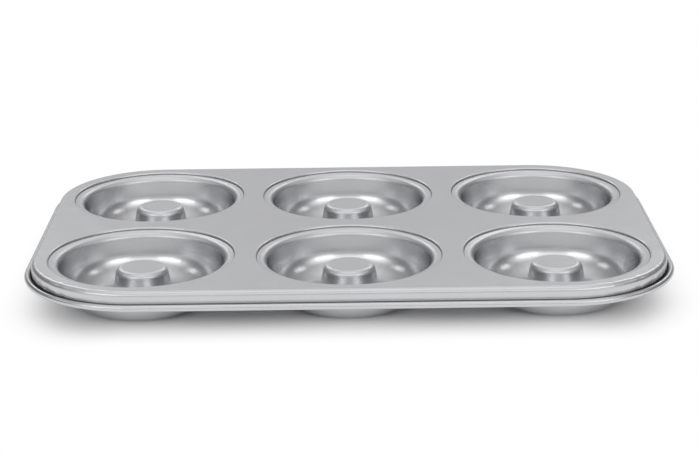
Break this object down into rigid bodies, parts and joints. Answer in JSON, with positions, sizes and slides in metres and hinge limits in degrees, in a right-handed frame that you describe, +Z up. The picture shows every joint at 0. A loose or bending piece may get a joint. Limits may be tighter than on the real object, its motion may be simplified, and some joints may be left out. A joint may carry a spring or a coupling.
{
  "type": "doughnut pan",
  "caption": "Rectangular steel baking pan with round corners, rows of ring-shaped cups with centre posts, and a curled rim.",
  "frame": {"origin": "centre of the pan's box, at its base, on the surface that it stands on", "axes": "+X along the long side, +Y across to the far long side, +Z up, out of the cups' mouths"},
  "size_m": [0.2934, 0.1994, 0.0222],
  "materials": {
    "coated_steel": "satin"
  },
  "bodies": {
    "root": {"pan": "coated_steel"}
  },
  "joints": []
}
